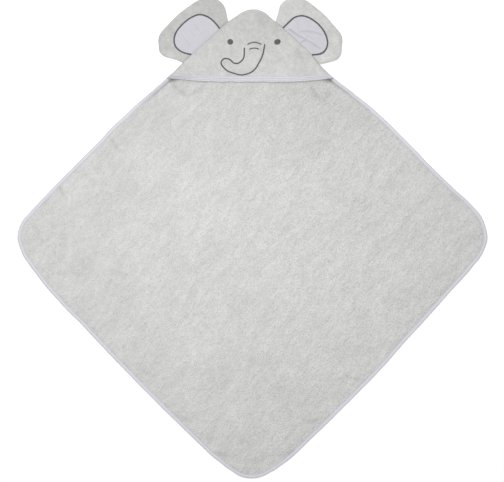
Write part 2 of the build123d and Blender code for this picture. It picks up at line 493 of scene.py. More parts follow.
def terry_material():
    """Looped pile: domed loops with painted shade in the gaps between them, soft clumps, and flecks of darker yarn."""
    m = Shading("terry_loops")
    clumps = m.noise(m.place(2.1, GRAIN, WANDER), 118, 3, 0.6, 0.5)
    tufts = m.noise(m.place(1.4, GRAIN, WANDER), 310, 3, 0.7, 0.8)
    # About 0 at each loop's crown and 1 in the gaps between loops.
    loops = m.node("TexVoronoi", "Distance", {"Vector": m.place(1.25, GRAIN, WANDER), "Scale": 600, "Randomness": 0.85})
    crowns = m.node("Math", "Value", {0: 1.0, 1: loops}, operation="SUBTRACT")
    yarn = m.noise(m.place(), 800, 1)
    sweeps = m.noise(m.place(2.6, GRAIN, 0.08), 42, 2, 0.5, 0.4)
    patches = m.noise(m.place(), 9, 3)
    # The pile is matted flat towards the towel's left corner and stands open towards its right.
    across = m.node("SeparateXYZ", "X", {"Vector": m.attribute("rest", "Vector")})
    stands = m.node("MapRange", "Result", {"Value": across, "From Min": -0.40, "From Max": 0.10,
                                           "To Min": 0.62, "To Max": 1.0})
    colour = m.shades(clumps, 0.30, 0.70, grey(TERRY_DARK), grey(TERRY_LIGHT, WARM))
    # The loops layer below is painted shade, darkening the gaps between loops where shade falls.
    colour = m.multiply(colour,
                        m.shades(tufts, 0.38, 0.52, grey(0.88), grey(1.0)),
                        m.shades(loops, 0.35, 0.90, grey(1.0), grey(0.78)),
                        m.shades(yarn, 0.30, 0.60, grey(0.95), grey(1.0)), amount=stands)
    colour = m.multiply(colour,
                        m.shades(sweeps, 0.34, 0.62, grey(0.94), grey(1.005)),
                        m.shades(patches, 0.3, 0.7, grey(0.945), grey(1.0, (1, 1.0, 0.992))))
    relief = m.relief((clumps, 0.0030, 0.7), (tufts, 0.0013, 0.7), (crowns, 0.0010, 0.8), (yarn, 0.0006, 0.5))
    return m.finish(m.toned(colour), relief, 0.95, 0.1, 0.15, 0.6)


def marl_material(name, dark, light):
    """Smooth brushed knit of mixed light and dark yarn: short streaks, soft blotches and a fine nap."""
    m = Shading(name)
    streaks = m.noise(m.place(1.7, 0.5, 0.03), 280, 3, 0.6, 0.4)
    blotches = m.noise(m.place(1.4, 2.2, 0.03), 90, 3, 0.6, 0.6)
    cloud = m.noise(m.place(1.6, 2.4), 30, 2, 0.5, 0.4)
    fuzz = m.noise(m.place(), 900, 2, 0.6)
    colour = m.multiply(m.shades(blotches, 0.28, 0.72, grey(dark, WARM), grey(light, WARM)),
                        m.shades(streaks, 0.32, 0.60, grey(0.88), grey(1.0)),
                        m.shades(cloud, 0.3, 0.7, grey(0.94), grey(1.0)))
    relief = m.relief((blotches, 0.0015, 0.4), (streaks, 0.0006, 0.5), (fuzz, 0.0003, 0.6))
    return m.finish(m.toned(colour), relief, 0.9, 0.12, 0.1)


def jersey_material(name, colour, rib_turn, rib_scale, depth):
    """Fine lavender jersey with a faint rib."""
    m = Shading(name)
    rib = m.node("TexWave", "Fac", {"Vector": m.place(turn=rib_turn), "Scale": rib_scale, "Distortion": 3.0,
                                    "Detail": 2.0, "Detail Scale": 0.6})
    soft = m.noise(m.place(), 70, 3)
    fine = m.noise(m.place(), 1100, 1)
    low = tuple(c * (1 - depth) for c in colour)
    colour = m.multiply(m.shades(rib, 0.0, 1.0, low, colour), m.shades(soft, 0.3, 0.7, grey(0.96), grey(1.0)))
    return m.finish(m.toned(colour), m.relief((rib, 0.0002, 0.3), (fine, 0.00015, 0.4)), 0.8, 0.2, 0.1)


def thread_material(name, colour, roughness):
    """Twisted thread with a soft shine and slight colour change."""
    m = Shading(name)
    strand = m.noise(m.place(), 1500, 2, 0.6)
    change = m.noise(m.place(), 180, 2)
    dark, light = (tuple(c * share for c in colour) for share in (0.86, 1.12))
    colour = m.multiply(m.shades(change, 0.3, 0.7, dark, light), m.shades(strand, 0.25, 0.7, grey(0.85), grey(1.0)))
    return m.finish(colour, m.relief((strand, 0.0002, 0.5)), roughness, 0.35)


# Each cloth and thread: its material and a slot name.
TERRY_LOOPS = (terry_material(), "terry")
HOOD_KNIT = (marl_material("hood_knit", 0.574, 0.674), "hood_cloth")
BINDING_JERSEY = (jersey_material("binding_jersey", linear(228, 227.5, 234.5), 0.4, 260, 0.03), "binding")
LINING_JERSEY = (jersey_material("lining_jersey", linear(208, 207, 214), 0.61, 46, 0.022), "ear_lining")
BINDING_THREAD = (thread_material("binding_thread", linear(178, 177, 188), 0.6), "binding_thread")
SEAM_THREAD = (thread_material("seam_thread", linear(200, 200, 200), 0.6), "seam_thread")
EMBROIDERY = (thread_material("embroidery_thread", linear(92, 92, 97), 0.55), "embroidery")
TOWEL_BACK = marl_material("towel_back", 0.590, 0.670)


# ---------------------------------------------------------------- the towel's outline and heights

right_half = right_half_outline()
whole_outline = np.concatenate([right_half, (right_half * [-1, 1])[::-1][1:-1]])
outline_look = nearest(whole_outline)

# How high the cloth stands off the floor, how far in its edge ripples, and where it is calm.
EDGE_RIPPLE, FIELD_SWELL = 1.3, 0.8
RIPPLE_REACH = 55.0
CALM_FROM_Y, CALM_OVER = 180, 110
edge_ripple = waves(3, 7, 90, 200)
field_swell = waves(11, 6, 160, 420)


def edge_distance(x, y):
    """Distance from the towel's outline."""
    return outline_look(pairs(x, y))[1].reshape(np.shape(x))


def lift(x, y):
    """How far the towel stands off the floor: a little at its edges, not at all under the hood."""
    near_edge = np.exp(-edge_distance(x, y) / RIPPLE_REACH)
    ripple = np.clip(edge_ripple(x, y) + 0.15, 0, None) * near_edge * EDGE_RIPPLE
    swell = np.clip(field_swell(x, y), 0, None) * FIELD_SWELL
    return (ripple + swell) * (1 - smooth((y - CALM_FROM_Y) / CALM_OVER))


# Creases that stand out: the two ends, the half width and the depth of each.
DEEP_CREASES = [
    ((-296, 210), (-272, 180), 3.4, 1.5), ((-405, 109), (-394, 84), 3.2, 1.5), ((-462, 40), (-455, 12), 4.0, 0.8),
    ((-76, -453), (-44, -458), 4.2, 2.0), ((58, -462), (92, -440), 5.2, 1.8), ((112, -388), (152, -374), 4.6, 1.3),
    ((190, -290), (242, -294), 4.2, 1.2), ((322, -188), (350, -158), 5.0, 1.2), ((388, -122), (414, -98), 4.5, 0.9),
    ((414, 92), (440, 72), 4.0, 0.9), ((-238, -276), (-196, -290), 4.4, 1.1), ((-160, -372), (-122, -384), 4.6, 0.9),
    ((-168, 324), (-128, 299), 4.4, 2.2), ((-132, 299), (-104, 317), 4.8, 1.9), ((124, 321), (148, 290), 4.8, 2.0),
    ((100, 318), (84, 300), 5.0, 0.8), ((168, 308), (150, 276), 5.0, 1.9), ((-30, -465), (30, -463), 6.0, 0.6),
    ((-120, -420), (-60, -414), 6.0, 0.6), ((96, 180), (158, 226), 6.5, 0.6), ((170, 90), (230, 150), 7.0, 0.6),
    ((-40, -250), (44, -254), 6.0, 0.4),
]


def turned_left(way):
    """A direction turned a quarter to its left."""
    return np.array([-way[1], way[0]])


def deep_creases(points, creases):
    """Depth of the creases that stand out."""
    depth = np.zeros(len(points))
    for start, end, width, deep in creases:
        start, way = np.array(start, float), np.subtract(end, start).astype(float)
        length = np.linalg.norm(way)
        way /= length
        away = points - start
        near = np.abs(away).max(axis=1) < length + 20
        share = away[near] @ way / length
        across = away[near] @ turned_left(way) + 0.10 * length * np.sin(2.2 * share)
        fade = smooth((share + 0.12) / 0.35) * smooth((1.12 - share) / 0.5)
        depth[near] += deep * fade * bell(across / width)
    return depth


# Creases along the edge: the step from one to the next, and the ranges of their sizes.
CREASE_SPACING = 17
CREASE_LENGTHS, CREASE_WIDTHS, CREASE_DEPTHS = (10, 42), (1.8, 3.6), (0.2, 0.7)


def edge_creases(points):
    """Depth of the short soft creases where the binding draws the terry in."""
    rng = np.random.default_rng(21)
    depth = np.zeros(len(points))
    line = resample(whole_outline, step=CREASE_SPACING)
    for p, n in zip(line, -left_normals(line)):
        if p[1] > 325 or rng.random() < 0.2:
            continue
        turn = rng.normal(0, 0.55)
        c, s = math.cos(turn), math.sin(turn)
        way = np.array([n[0] * c - n[1] * s, n[0] * s + n[1] * c])
        start = p + n * rng.uniform(4, 10) + turned_left(n) * rng.uniform(-8, 8)
        length, width, deep = (rng.uniform(*span) for span in (CREASE_LENGTHS, CREASE_WIDTHS, CREASE_DEPTHS))
        away = points - start
        near = np.abs(away).max(axis=1) < length + 12
        along = away[near] @ way
        across = away[near] @ turned_left(way) + 1.5 * np.sin(along / 9.0)
        fade = smooth((along + 3) / 6) * smooth((length - along) / (length * 0.8))
        depth[near] += deep * fade * bell(across / width)
    return depth


# ---------------------------------------------------------------- hood and ear places

EAR_ROOT = np.array([-142.2, HOOD_CORNER[1] + (HOOD_CORNER[0] - 142.2) * math.tan(SEAM_ANGLE)])
EAR_CORNERS = [(-2.5, 0), (-28, 41), (-0.5, 77), (60, 83), (115, 77.5), (150.5, 45), (128, 0)]
EAR_RADII = [23, 31, 164, 46, 31]
EAR_ROOT_SPAN = (-2.5, 128.0)
# Heights of the hood's faces at the seam, what an ear adds there, and the top of the roll beside the seam.
SEAM_TOP, EAR_ADDS, ROLL_TOP, ROLL_REACH = 2.6, 0.6, 5.5, 1.3
SEAM_UNDER, EAR_ADDS_UNDER = 2.45, 0.55
HOOD_DOME = 3.8
HOOD_FULL, HOOD_FOLD = 2.2, 0.5
# The bed that the lip strip is sewn into: its depth and how far in it ends.
LIP_BED, LIP_REACH = 0.5, 9.2
hood_waves = waves(5, 7, 40, 120)


def ear_place(st, side):
    """Points given along the hood seam and out from it, put in the frame; side is -1 left, 1 right."""
    st = np.asarray(st, float)
    xy = EAR_ROOT + st[..., :1] * ALONG + st[..., 1:2] * OUTWARD
    return xy * [1 if side < 0 else -1, 1]


def seam_place(x, y):
    """Distance along the nearer hood seam from the ear's root, and distance in from that seam."""
    left = np.stack([-np.abs(x), y], axis=-1) - EAR_ROOT
    return left @ ALONG, -(left @ OUTWARD)


def seam_distance(x, y):
    """Distance in from the hood's slanted edges, rounded off at the apex and down the middle."""
    def inset(sign):
        return -((sign * x + HOOD_CORNER[0]) * OUTWARD[0] + (y - HOOD_CORNER[1]) * OUTWARD[1])
    one, other = inset(1), inset(-1)
    soft = 30.0
    low = np.minimum(one, other)
    gap = np.abs(one - other)
    low = low - np.where(gap < soft, (soft - gap) ** 2 / (4 * soft), 0)
    return low + 18.0 * bell(x / 24.0) * smooth((y - 380) / 80) * 0.43


def ear_zone(x, y):
    """1 where an ear is sewn into the seam, 0 elsewhere."""
    along, _ = seam_place(x, y)
    return smooth((along - EAR_ROOT_SPAN[0] + 4) / 8) * smooth((EAR_ROOT_SPAN[1] + 4 - along) / 8)


def hood_top(x, y):
    """Height of the hood's outer face."""
    x, y = np.asarray(x, float), np.asarray(y, float)
    s = np.clip(seam_distance(x, y), 0, None)
    rim = SEAM_TOP + EAR_ADDS * ear_zone(x, y)
    roll = rim + (ROLL_TOP - rim) * (1 - np.exp(-s / ROLL_REACH))
    corner = 0.9 * np.exp(-((np.abs(x) - 172) ** 2 + (y - 337) ** 2) / 150)
    corner = corner + 2.2 * patch(np.abs(x), y, (160, 332), (14, 14)) * smooth(s / 8)
    front = 1.0 * smooth((360 - y) / 30)
    folds = np.clip((hood_fullness(x, y) - HOOD_FULL) * HOOD_FOLD, -0.9, 0.9)
    return roll + corner + (HOOD_DOME - front) * smooth(s / 34) + (0.2 * hood_waves(x, y) + folds) * smooth(s / 18)


def lip_y(x):
    """The hood's front edge: a shallow curve, a little uneven as sewn cloth is."""
    rise = LIP_CORNER_Y - LIP_MIDDLE_Y
    uneven = 0.35 * np.sin(x / 21.0 + 0.6) + 0.25 * np.sin(x / 9.3) - 0.9 * bell((x - 60) / 60)
    uneven = uneven * (1 - smooth(np.abs(x) / 170))
    pulled = 1.2 * bell((x + 142) / 16)
    return LIP_MIDDLE_Y + rise * np.minimum((x / HOOD_CORNER[0]) ** 4, 1.15) + uneven + pulled


upper_side = right_half[(right_half[:, 0] > 100) & (right_half[:, 1] > 250)]


def half_width(y):
    """How far the towel reaches from the middle line at that height, near the hood's front."""
    return np.interp(-np.asarray(y), -upper_side[:, 1], upper_side[:, 0])


def hood_panel_top(x, y):
    """The hood's outer face, pressed down where the lip strip is sewn over it."""
    return hood_top(x, y) - LIP_BED * (1 - smooth((y - lip_y(x) - LIP_REACH) / 2.0))


def hood_panel_under(x, y):
    """The hood's inner face, one cloth below the outer one and down to the terry at the seam."""
    return np.maximum(hood_panel_top(x, y) - HOOD_CLOTH, SEAM_UNDER + EAR_ADDS_UNDER * ear_zone(x, y))


# ---------------------------------------------------------------- the terry square

def pocket_corner(x, y):
    """1 in the terry's inside corner where the lip, the seam and the edge binding meet, fading along the edge."""
    along = smooth((y - 270) / 60) * (1 - smooth((y - 350) / 20))
    return along * bell((edge_distance(x, y) - 9.5) / 3.5)


# Steps along each quarter of the edge, for the pile face and the back.
FINE, COARSE = 240, 120
RIM_INSET = 1.2
# Thickness inside the binding and inside the hood's seam, and what each gains farther in.
BOUND, PRESSED, OPEN_RISE, UNDER_HOOD_RISE = 2.5, 1.9, 0.75, 1.3
LEAST_THICK = 0.9
BED_EDGE = 8.6
UNDER_TUCK, UNDER_ROLL = 0.65, 0.9
# How much painted shade darkens the terry: in the corners by the hood, for each millimetre of crease, in the pockets,
# under the lip.
CORNER_SHADE, CREASE_SHADE, POCKET_SHADE, LIP_SHADE = 0.10, 0.07, 0.30, 0.10


def towel_face(flat):
    """The pile face's height and its tone of painted shade, its stand off the floor, 1 where it is in the hood, and the
    edge distance.
    """
    x, y = flat[:, 0], flat[:, 1]
    distance = outline_look(flat)[1]
    stand = lift(x, y)
    hooded = smooth((y - 338) / 6)
    bound = BOUND + OPEN_RISE * smooth((distance - 5.9) / 4)
    pressed = PRESSED + UNDER_HOOD_RISE * smooth((distance - 3) / 8)
    thick = bound * (1 - hooded) + pressed * hooded - 0.5 * bell((distance - RIM_INSET) / 0.8)
    grain = np.array([math.cos(GRAIN), math.sin(GRAIN)])
    combed = lumps(flat @ grain / 2.6, flat @ turned_left(grain), size=21.0, seed=6)
    pile = 0.30 * lumps(x, y, size=9.0, seed=1) + 0.20 * lumps(x, y, size=4.2, seed=2) + 0.55 * combed
    corner = pocket_corner(x, y)
    deep = deep_creases(flat, DEEP_CREASES)
    top = stand + thick + pile * smooth((distance - BED_EDGE) / 3) - edge_creases(flat) - deep - 1.6 * corner
    # Painted shade along the binding's inner edge, stronger near the hood, and in the pockets under the hood's corners.
    by_hood = (0.07 + 0.07 * (x > 0)) * smooth((y - 275) / 30)
    beside = bell((distance - 9.3) / 1.4) * (0.05 + 0.04 * smooth((x + y * 0.3) / 200) + by_hood)
    pocket = patch(np.abs(x), y, (166, 331), (13, 5))
    # Painted shade darker towards the top and the left, and a painted shadow just in front of the lip away from its
    # middle.
    shade = 0.068 * smooth((y - 50) / 250) + 0.022 * smooth((-x - 100) / 200)
    off_middle = smooth((x - 20) / 60) + 0.8 * smooth((-x - 70) / 40)
    under_lip = LIP_SHADE * off_middle * bell((lip_y(x) - y - 3.0) / 2.8)
    tone = 1 - shade - CORNER_SHADE * corner - CREASE_SHADE * deep - beside - POCKET_SHADE * pocket - under_lip
    return np.maximum(top, stand + LEAST_THICK), tone, stand, hooded, distance


def build_towel():
    """A fine pile face and a smoother back joined round the rim, two pile steps to each back step."""
    rim = right_half - RIM_INSET * left_normals(right_half)
    middle = int(np.argmax(rim[:, 0]))
    upper = resample(rim[: middle + 1], count=FINE + 1)
    lower = resample(rim[middle:], count=FINE + 1)
    upper[0, 0] = 0
    lower[-1, 0] = 0
    flip = np.array([-1, 1])
    flat = coons(upper, lower * flip, upper * flip, lower).reshape(-1, 2)
    top, tone, stand, hooded, distance = towel_face(flat)

    n, m = FINE + 1, COARSE + 1
    pick = (np.arange(n)[::2][:, None] * n + np.arange(n)[::2][None]).ravel()
    tuck = UNDER_TUCK * (1 - smooth((distance[pick] - 8.2) / 1.6)) * (1 - hooded[pick])
    roll = UNDER_ROLL * bell((distance[pick] - RIM_INSET) / 1.4)
    under = stand[pick] + np.maximum(tuck, roll) + 0.10 * (1 + lumps(*flat[pick].T, size=14.0, seed=4))
    points = np.concatenate([np.column_stack([flat, top]), np.column_stack([flat[pick], under])])

    first = n * n
    faces = grid_faces(n, n, flip=True)
    top_count = len(faces)
    faces += grid_faces(m, m, first=first)
    ring_up, ring_low = border(n, n), [first + i for i in border(m, m)]
    steps = len(ring_low)
    for i in range(steps):
        a, b, c = ring_up[2 * i], ring_up[2 * i + 1], ring_up[(2 * i + 2) % (2 * steps)]
        faces.append((a, b, c, ring_low[(i + 1) % steps], ring_low[i]))
    towel = new_piece("terry_square", points, faces, TERRY_LOOPS, np.concatenate([tone, np.ones(len(pick))]))
    towel.data.materials.append(TOWEL_BACK)
    index = np.zeros(len(towel.data.polygons), np.int32)
    index[top_count:] = 1
    towel.data.polygons.foreach_set("material_index", index)
    return towel


def blend_hood(piece):
    """Bakes the piece's placement into its points."""
    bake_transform(piece)


towel = build_towel()
blend_hood(towel)
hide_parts("towel_panel", "towel_hood_corner")


# ---------------------------------------------------------------- the edge binding

STITCH_PITCH = 3.2
BINDING_STITCH = (STITCH_PITCH, 2.6, 0.30, 0.8)
STRIP_STEP = 0.8
# The strip's section, as places out from the towel's edge and heights, with the painted shade of each point: darker on
# the rolled outer edge, in the stitch dip and at the inner edge, and a touch of painted highlight on the crown.
BINDING_PROFILE = [
    (-8.4, 0.62), (-8.3, 0.12), (-2.0, 0.0), (-0.45, 0.35), (0.0, 1.6), (-0.6, 2.75), (-2.4, 3.30),
    (-4.6, 3.50), (-6.3, 3.22), (-7.0, 2.98), (-7.5, 3.12), (-7.9, 3.34), (-8.3, 3.20), (-8.4, 2.85),
    (-6.9, 2.45), (-1.3, 2.30), (-0.75, 1.6), (-1.3, 0.75),
]
BINDING_PAINTED_SHADE = [1, 1, 1, 0.96, 0.95, 0.95, 0.98, 1.01, 0.98, 0.91, 0.94, 0.97, 0.96, 0.9, 1, 1, 1, 1]
STITCH_INSET = 7.0
STITCH_POINT = 9


def build_edge_binding():
    """Rings and painted shade of the strip folded over the towel's edge, from one hood corner round the foot to the
    other.
    """
    right = right_half[right_half[:, 1] < 337.0]
    path = np.concatenate([right, (right * [-1, 1])[::-1][1:]])
    path = resample(path, step=STRIP_STEP)
    outward = left_normals(path)
    run = np.arange(len(path)) * STRIP_STEP
    rng = np.random.default_rng(31)
    stand = lift(path[:, 0], path[:, 1])
    wobble = uneven_run(rng, run, 0.14, 22, 95)
    inner = uneven_run(rng, run, 0.16, 6, 26)
    pucker = np.cos(run * 2 * math.pi / STITCH_PITCH)
    swell = 0.12 * np.sin(run * 2 * math.pi / 11.3 + 1.0) + 0.10 * np.sin(run * 2 * math.pi / 7.1)
    rings = np.zeros((len(path), len(BINDING_PROFILE), 3))
    for k, (p, z) in enumerate(BINDING_PROFILE):
        upper_face = 2 < k < 14
        near_stitch = bell((p + STITCH_INSET) / 1.6) if upper_face else 0.0
        shift = p + 0.35 * wobble + (inner * 0.8 if p < -7.0 else 0)
        rings[:, k, :2] = path + outward * shift[:, None]
        rings[:, k, 2] = z + stand + (0.10 * pucker * near_stitch + (swell if upper_face else 0) * 0.5)
    # Painted shade: the outer rim darker along the upper sides, and the inner half darker near the hood's corners.
    far = smooth((path[:, 1] - 20) / 160) * (1 - smooth((path[:, 1] - 300) / 40))
    by_hood = smooth((path[:, 1] - 262) / 60) * np.where(path[:, 0] < 0, 0.22, 0.13)
    place = np.array([p for p, _ in BINDING_PROFILE])
    rim, inner_half = bell(place / 2.6), np.where(place < -3.5, 1.0, 0.45)
    tone = np.array(BINDING_PAINTED_SHADE) * (1 - 0.10 * far[:, None] * rim) * (1 - by_hood[:, None] * inner_half)
    return rings, tone


binding_rings, strip_painted_shade = build_edge_binding()
edge_binding = sweep("edge_binding_strip", binding_rings, BINDING_JERSEY, strip_painted_shade)
edge_stitches = stitch_row("edge_binding_stitches", binding_rings[:, STITCH_POINT], BINDING_STITCH, BINDING_THREAD)
for piece in (edge_binding, edge_stitches):
    blend_hood(piece)
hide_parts("edge_binding", "edge_binding_ends")
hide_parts("edge_binding_stitching")


# ---------------------------------------------------------------- cloth areas of any outline

def inside(points, ring):
    """True for the points inside a closed ring."""
    x, y = points[:, 0][:, None], points[:, 1][:, None]
    x1, y1 = ring[:, 0], ring[:, 1]
    x2, y2 = np.roll(x1, -1), np.roll(y1, -1)
    crosses = ((y1 > y) != (y2 > y)) & (x < (x2 - x1) * (y - y1) / (y2 - y1 + 1e-12) + x1)
    return crosses.sum(axis=1) % 2 == 1


def fill_outline(ring, spacing, rim_steps=()):
    """Even triangles over a closed outline, with rings of points close inside its rim."""
    ring = resample(np.concatenate([ring, ring[:1]]), step=spacing * 0.8)[:-1]
    area = 0.5 * np.sum(ring[:, 0] * np.roll(ring[:, 1], -1) - np.roll(ring[:, 0], -1) * ring[:, 1])
    if area < 0:
        ring = ring[::-1]
    inward = left_normals(np.concatenate([ring[-1:], ring, ring[:1]]))[1:-1]
    from_ring = nearest(ring)
    layers = [ring]
    for step in rim_steps:
        moved = ring + inward * step
        layers.append(moved[(from_ring(moved)[1] > step * 0.93) & inside(moved, ring)])
    low, high = ring.min(axis=0), ring.max(axis=0)
    rows = np.arange(low[1], high[1], spacing * 0.866)
    grid = np.array([(x + (r % 2) * spacing / 2, y) for r, y in enumerate(rows)
                     for x in np.arange(low[0], high[0], spacing)])
    grid = grid[inside(grid, ring)]
    grid = grid[from_ring(grid)[1] > max(rim_steps, default=0) + spacing * 0.55]
    points = np.concatenate([*layers, grid])
    count = len(ring)
    result = delaunay_2d_cdt([Vector(p) for p in points], [], [list(range(count))], 1, 1e-5)
    verts = np.array([tuple(v) for v in result[0]])
    faces = [tuple(f) for f in result[2]]
    on_rim = np.array([len(o) > 0 and min(o) < count for o in result[3]])
    return verts, faces, on_rim


def two_faced(area, top, low):
    """Points and faces of an upper and a lower face that share their rim, and which points are not on it."""
    verts, faces, on_rim = area
    free = np.where(~on_rim)[0]
    twin = np.arange(len(verts))
    twin[free] = len(verts) + np.arange(len(free))
    points = np.concatenate([np.column_stack([verts, top]), np.column_stack([verts[free], low[free]])])
    return points, list(faces) + [tuple(int(twin[i]) for i in f)[::-1] for f in faces], free


def ply(name, area, outer, inner, cloth, tone=1.0):
    """A closed thin ply over a filled area, between an outer and an inner face."""
    points, both, free = two_faced(area, outer, inner)
    tone = np.broadcast_to(tone, len(outer))
    return new_piece(name, points, both, cloth, np.concatenate([tone, tone[free]]))


SETTLE_FRAMES = 20
CLOTH = {
    "quality": 8, "mass": 0.08, "tension_stiffness": 15, "compression_stiffness": 15, "shear_stiffness": 6,
    "bending_stiffness": 0.15, "air_damping": 2, "vertex_group_mass": "sewn", "use_pressure": True,
}


def settle(ring, spacing, gap, pressure, ease, seed):
    """Two plies sewn together round a ring, filled lightly and left to settle by a cloth simulation.

    Gives the heights of the upper and lower ply over any places, above and below the seam.
    """
    area = fill_outline(ring, spacing)
    on_rim = area[2]
    total = len(on_rim)
    start = np.zeros(total)
    start[~on_rim] = np.random.default_rng(seed).uniform(-0.2, 0.2, np.sum(~on_rim))
    points, both, _ = two_faced(area, start + gap * ~on_rim, start - gap)
    mesh = bpy.data.meshes.new("settling")
    mesh.from_pydata((points * MM).tolist(), [], both)
    thing = add_object("settling", mesh)
    thing.vertex_groups.new(name="sewn").add([int(i) for i in np.where(on_rim)[0]], 1.0, "REPLACE")
    cloth = thing.modifiers.new("cloth", "CLOTH")
    cloth.point_cache.frame_start, cloth.point_cache.frame_end = 1, SETTLE_FRAMES
    fabric = cloth.settings
    for setting, value in CLOTH.items():
        setattr(fabric, setting, value)
    fabric.uniform_pressure_force = pressure
    fabric.shrink_min = fabric.shrink_max = -ease
    fabric.effector_weights.gravity = 0
    for number in range(1, SETTLE_FRAMES + 1):
        bpy.context.scene.frame_set(number)
    settled = thing.evaluated_get(bpy.context.evaluated_depsgraph_get()).data
    places = np.zeros(len(settled.vertices) * 3, np.float32)
    settled.vertices.foreach_get("co", places)
    places = places.reshape(-1, 3) / MM
    bpy.data.objects.remove(thing)
    bpy.context.scene.frame_set(1)
    upper, lower = places[:total], np.concatenate([places[:total][on_rim], places[total:]])
    return spread(upper, spacing), spread(lower, spacing)


def spread(points, reach):
    """A lookup of smoothed height over any place, from scattered points."""
    tree = flat_tree(points)
    neighbours, softness = 14, 0.62 * reach

    def look(x, y):
        flat = pairs(x, y)
        heights = np.zeros(len(flat))
        for k, p in enumerate(flat):
            found = tree.find_n((p[0], p[1], 0), neighbours)
            weight = bell(np.array([f[2] for f in found]) / softness) + 1e-9
            heights[k] = weight @ points[[f[1] for f in found], 2] / weight.sum()
        return heights.reshape(np.shape(y))

    return look


def height_on(piece):
    """A lookup of the highest point of a finished piece above each place."""
    tree = bvhtree.BVHTree.FromObject(piece, bpy.context.evaluated_depsgraph_get())

    def look(x, y):
        hits = [tree.ray_cast(Vector((*(p * MM), 0.1)), Vector((0, 0, -1)))[0] for p in drawn(pairs(x, y))]
        heights = np.array([np.nan if hit is None else hit[2] / MM for hit in hits])
        missing = np.isnan(heights)
        if missing.any() and not missing.all():
            heights[missing] = np.interp(np.where(missing)[0], np.where(~missing)[0], heights[~missing])
        return heights.reshape(np.shape(y))

    return look


# ---------------------------------------------------------------- the hood

def hood_outline():
    """The hood panel's edge: up one seam, over the apex, down the other and back along the lip."""
    side = right_half[right_half[:, 1] > lip_y(np.array([176.0]))[0] + 1.0]
    left = (side * [-1, 1])[::-1]
    across = np.linspace(side[-1, 0], -side[-1, 0], 240)
    front = np.column_stack([across, lip_y(across) + 0.7])[1:-1]
    return np.concatenate([left, side[1:], front])


hood_fullness, _ = settle(hood_outline(), spacing=8.0, gap=1.5, pressure=0.6, ease=0.008, seed=81)

# As the deep creases of the towel.
HOOD_CREASES = [
    ((88, 401), (134, 357), 4.4, 1.1), ((46, 437), (62, 423), 5.0, 0.5), ((-96, 396), (-120, 374), 4.5, 0.3),
    ((12, 462), (50, 434), 6.5, 0.5), ((-36, 448), (-26, 438), 7.0, 0.4), ((-70, 362), (-100, 350), 4.5, 0.25),
]

area = fill_outline(hood_outline(), spacing=3.0, rim_steps=(0.5, 1.4, 3.0))
x, y = area[0].T
top, under = hood_panel_top(x, y), hood_panel_under(x, y)
lip_rim = area[2] & (y - lip_y(x) < 1.2)
top = np.where(lip_rim, (top + under) / 2, top)
# Painted shade along the seams, at the apex and in the creases, and painted light towards the front and on the right;
# the blotches are the knit's own tone.
seam_shade = 0.20 * np.exp(-np.clip(seam_distance(x, y), 0, None) / 1.6)
apex_shade = 0.06 * patch(x, y, (5, 468), (50, 34))
crease = deep_creases(area[0], HOOD_CREASES)
top = top - crease
blotch = 0.02 * lumps(x, y, size=16.0, seed=9)
front_light = 0.015 + 0.035 * smooth((392 - y) / 35) + 0.035 * bell((x - 75) / 50) * smooth((425 - y) / 25)
tone = 1 - seam_shade - apex_shade + front_light - 0.085 * crease + blotch
hood = ply("hood_cloth", area, top, under, HOOD_KNIT, tone)
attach(hood, "hood")
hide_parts("hood_panel")
hood_height = height_on(hood)

# The lip's section: how far in from the hood's front edge, the hood face it follows and the height over it.
LIP_PROFILE = [
    (9.0, "under", -0.05), (9.2, "under", -0.45), (5.0, "under", -0.50), (1.2, "under", -0.42), (0.15, "under", 0.25),
    (-0.1, "top", -0.75), (0.35, "top", 0.25), (1.6, "top", 0.66), (2.6, "top", 0.42), (3.2, "top", 0.12),
    (3.8, "top", 0.42), (5.0, "top", 0.70), (6.2, "top", 0.42), (6.8, "top", 0.12), (7.4, "top", 0.42),
    (8.6, "top", 0.66), (9.8, "top", 0.50), (10.0, "top", 0.02), (6.8, "top", -0.05), (3.2, "top", -0.05),
    (1.3, "top", -0.10), (0.75, "under", 0.9), (1.3, "under", 0.05), (5.0, "under", -0.02),
]
# Painted shade of each point of the lip's section: dimmed overall, darker in the stitch dips and at the folded edges.
LIP_PAINTED_SHADE = [0.96, 0.96, 0.96, 0.96, 0.92, 0.92, 0.97, 0.97, 0.91, 0.80, 0.91, 0.97, 0.91, 0.80, 0.91, 0.96, 0.92, 0.84,
            0.96, 0.96, 0.96, 0.96, 0.96, 0.96]
LIP_STITCH_POINTS = (9, 13)


def build_lip():
    """Rings of the strip folded over the hood's front edge, cut at both ends along the towel's outline."""
    length = 2 * half_width(LIP_CORNER_Y)
    count = int(length / STRIP_STEP)
    across = np.linspace(-1, 1, count)
    run = across * length / 2
    uneven = uneven_run(np.random.default_rng(41), run, 0.14, 8, 40)
    pucker = np.cos(run * 2 * math.pi / STITCH_PITCH)
    narrow = 1 - 0.26 * smooth((-run - 118) / 35) - 0.18 * smooth((run - 150) / 14)
    rings = np.zeros((count, len(LIP_PROFILE), 3))
    for k, (n, face, z) in enumerate(LIP_PROFILE):
        inset = n * narrow
        px = across * half_width(lip_y(run) + inset)
        py = lip_y(px) + inset + uneven * (1.0 if n > 8 or n < 1 else 0.5)
        inside_y = np.maximum(py, lip_y(px) + 0.9)
        base = hood_panel_top(px, inside_y) if face == "top" else hood_panel_under(px, inside_y)
        crown = face == "top" and z > 0.3
        rings[:, k] = np.column_stack([px, py, base + z + (0.07 * pucker if crown else 0)])
    return rings


lip_rings = build_lip()
run = lip_rings[:, 0, 0]
